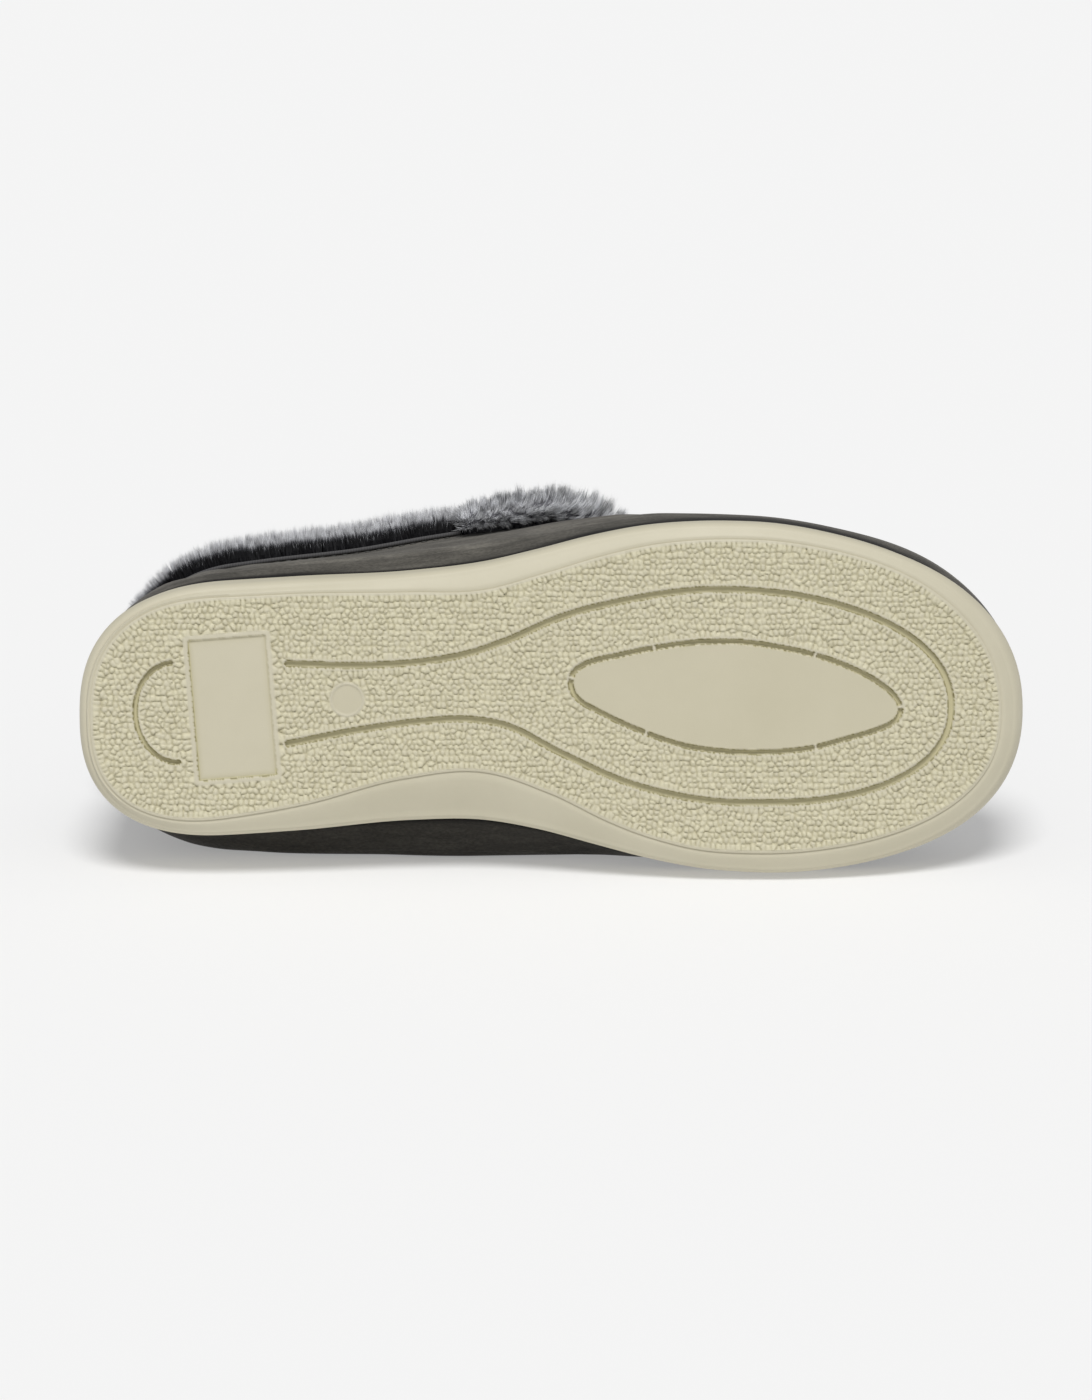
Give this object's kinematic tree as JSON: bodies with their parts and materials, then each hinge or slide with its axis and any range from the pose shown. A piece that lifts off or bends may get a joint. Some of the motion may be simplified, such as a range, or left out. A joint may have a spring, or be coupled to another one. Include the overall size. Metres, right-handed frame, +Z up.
{
  "type": "closed-back slipper",
  "caption": "Closed-back slipper lying on its side: moulded tread sole, hollow suede-like upper, bound topline, stand-up fur collar at the back and a turned-over fur cuff at the front.",
  "frame": {"origin": "on the floor, under the middle of the slipper's box as it lies on its inner side", "axes": "+X from heel to toe, +Z up from the floor, -Y the way the tread faces, leaning back a little"},
  "size_m": [0.2594, 0.1016, 0.0966],
  "materials": {
    "sole_rubber": "matt cream moulded rubber with a pebbled tread",
    "insole_fleece": "short grey fleece",
    "upper_suede": "dark grey suede-like cloth with a soft nap",
    "binding_tape": "dark grey folded tape",
    "collar_fur": "grey pile with a near-black base",
    "cuff_fur": "grey pile with a near-black base"
  },
  "bodies": {
    "root": {"outsole": "sole_rubber", "insole": "insole_fleece", "upper": "upper_suede", "topline_binding": "binding_tape", "fur_collar": "collar_fur", "fur_cuff": "cuff_fur"}
  },
  "joints": []
}
